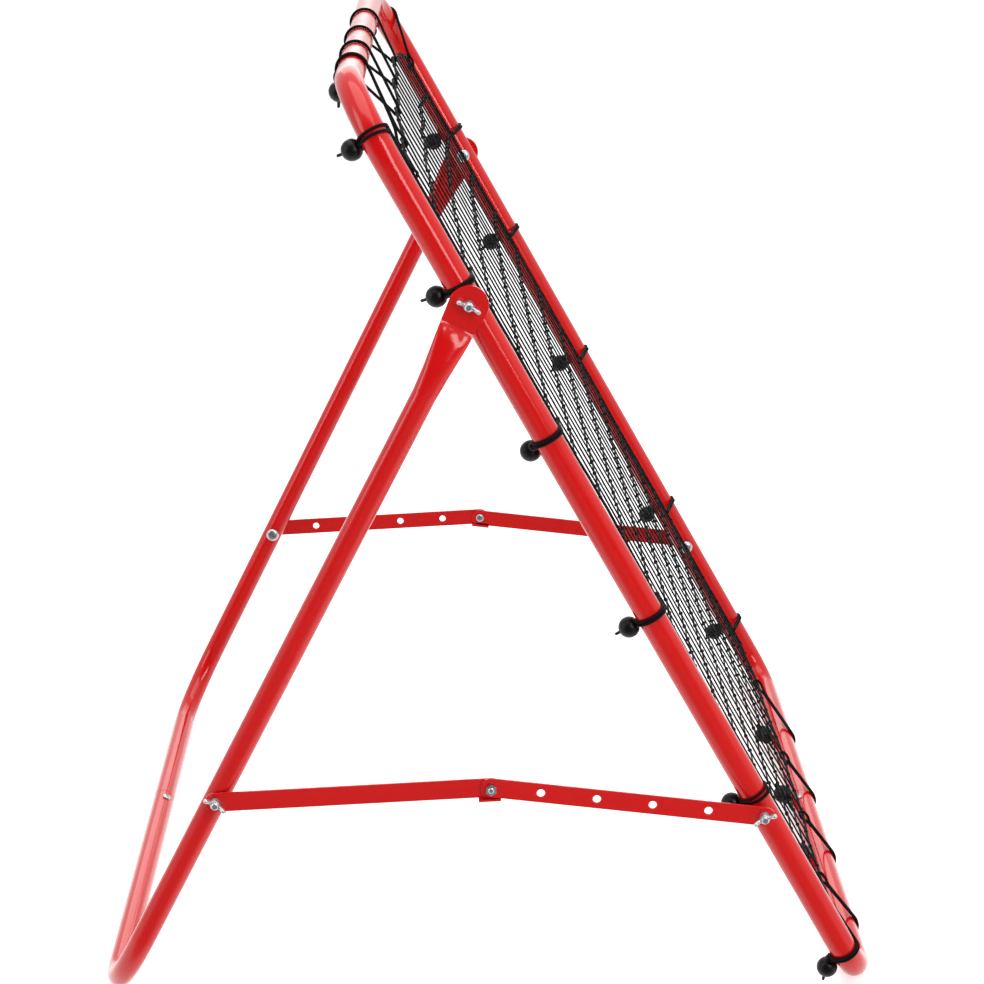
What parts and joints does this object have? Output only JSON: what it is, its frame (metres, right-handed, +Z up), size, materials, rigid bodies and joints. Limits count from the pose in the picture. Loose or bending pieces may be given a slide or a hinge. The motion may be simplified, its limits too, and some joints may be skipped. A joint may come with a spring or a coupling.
{
  "type": "folding football rebounder",
  "caption": "Folding football rebounder: a net held by elastic ball loops in a bent tube frame, propped by a folding rear leg with folding side stays and wing nuts.",
  "frame": {"origin": "on the floor, under the middle of the object's bounding box", "axes": "+Z up; the net faces -Y and the rear leg stands on the +Y side; X runs across the width, the near side of the picture being -X"},
  "size_m": [0.7662, 0.6436, 0.7705],
  "materials": {
    "red_paint": "gloss red paint on steel tube and strip",
    "zinc": "bright zinc plate on bolts, nuts, washers and screws",
    "net_cord": "knotted black net cord",
    "elastic": "black elastic cord with a moulded plastic ball"
  },
  "bodies": {
    "frame": {"far_frame_half": "red_paint", "near_frame_half": "red_paint", "frame_bottom_screw": "zinc", "frame_top_screw": "zinc", "near_pivot_bolt": "zinc", "far_pivot_bolt": "zinc", "near_frame_stay_bolt": "zinc", "near_frame_stay_jam_nut": "zinc", "near_frame_stay_washer": "zinc", "far_frame_stay_bolt": "zinc", "far_frame_stay_jam_nut": "zinc", "net": "net_cord", "bottom_loop_1": "elastic", "bottom_loop_2": "elastic", "bottom_loop_3": "elastic", "bottom_loop_4": "elastic", "far_loop_1": "elastic", "far_loop_2": "elastic", "far_loop_3": "elastic", "far_loop_4": "elastic", "far_loop_5": "elastic", "far_loop_6": "elastic", "near_loop_1": "elastic", "near_loop_2": "elastic", "near_loop_3": "elastic", "near_loop_4": "elastic", "near_loop_5": "elastic", "near_loop_6": "elastic", "top_loop_1": "elastic", "top_loop_2": "elastic", "top_loop_3": "elastic", "top_loop_4": "elastic"},
    "leg": {"near_leg_half": "red_paint", "far_leg_half": "red_paint", "leg_screw": "zinc", "near_leg_stay_bolt": "zinc", "near_leg_stay_washer": "zinc", "far_leg_stay_bolt": "zinc", "far_leg_stay_jam_nut": "zinc"},
    "near_plain_stay": {"near_plain_strip": "red_paint", "near_hinge_bolt": "zinc", "near_hinge_nut": "zinc"},
    "near_holed_stay": {"near_holed_strip": "red_paint", "near_frame_stay_bolt_end": "zinc"},
    "far_plain_stay": {"far_plain_strip": "red_paint", "far_hinge_bolt": "zinc", "far_hinge_nut": "zinc"},
    "far_holed_stay": {"far_holed_strip": "red_paint", "far_leg_stay_bolt_end": "zinc"},
    "near_pivot_wing_nut": {"near_pivot_wing_nut": "zinc"},
    "near_leg_stay_wing_nut": {"near_leg_stay_wing_nut": "zinc"},
    "near_frame_stay_wing_nut": {"near_frame_stay_wing_nut": "zinc"},
    "far_pivot_wing_nut": {"far_pivot_wing_nut": "zinc"},
    "far_frame_stay_wing_nut": {"far_frame_stay_wing_nut": "zinc"},
    "far_leg_stay_wing_nut": {"far_leg_stay_wing_nut": "zinc"}
  },
  "joints": [
    {"name": "leg_fold", "type": "hinge", "parent": "frame", "child": "leg", "pos_m": [0, -0.00011, 0.59308], "axis": [1, 0, 0], "range_deg": [-45.71, 0]},
    {"name": "near_stay_on_leg", "type": "hinge", "parent": "leg", "child": "near_plain_stay", "pos_m": [0, 0.21352, 0.19362], "axis": [1, 0, 0], "range_deg": [0, 121.07]},
    {"name": "near_stay_middle", "type": "hinge", "parent": "near_plain_stay", "child": "near_holed_stay", "pos_m": [0, -0.00716, 0.19939], "axis": [1, 0, 0], "range_deg": [-166.36, 0]},
    {"name": "far_stay_on_frame", "type": "hinge", "parent": "frame", "child": "far_plain_stay", "pos_m": [0, -0.2257, 0.16827], "axis": [1, 0, 0], "range_deg": [-91.04, 0]},
    {"name": "far_stay_middle", "type": "hinge", "parent": "far_plain_stay", "child": "far_holed_stay", "pos_m": [0, -0.00716, 0.19939], "axis": [1, 0, 0], "range_deg": [0, 166.36]},
    {"name": "near_pivot_nut_turn", "type": "hinge", "parent": "frame", "child": "near_pivot_wing_nut", "pos_m": [0, -0.00011, 0.59308], "axis": [1, 0, 0], "continuous": true},
    {"name": "near_leg_stay_nut_turn", "type": "hinge", "parent": "leg", "child": "near_leg_stay_wing_nut", "pos_m": [0, 0.21352, 0.19362], "axis": [1, 0, 0], "continuous": true},
    {"name": "near_frame_stay_nut_turn", "type": "hinge", "parent": "near_holed_stay", "child": "near_frame_stay_wing_nut", "pos_m": [0, -0.2257, 0.16827], "axis": [1, 0, 0], "continuous": true},
    {"name": "far_pivot_nut_turn", "type": "hinge", "parent": "frame", "child": "far_pivot_wing_nut", "pos_m": [0, -0.00011, 0.59308], "axis": [1, 0, 0], "continuous": true},
    {"name": "far_frame_stay_nut_turn", "type": "hinge", "parent": "frame", "child": "far_frame_stay_wing_nut", "pos_m": [0, -0.2257, 0.16827], "axis": [1, 0, 0], "continuous": true},
    {"name": "far_leg_stay_nut_turn", "type": "hinge", "parent": "far_holed_stay", "child": "far_leg_stay_wing_nut", "pos_m": [0, 0.21352, 0.19362], "axis": [1, 0, 0], "continuous": true}
  ],
  "couplings": [
    {"joint": "near_stay_on_leg", "follows": "leg_fold", "ratio": -2.6477},
    {"joint": "near_stay_middle", "follows": "leg_fold", "ratio": 3.6385},
    {"joint": "far_stay_on_frame", "follows": "leg_fold", "ratio": 1.9908},
    {"joint": "far_stay_middle", "follows": "leg_fold", "ratio": -3.6385}
  ]
}
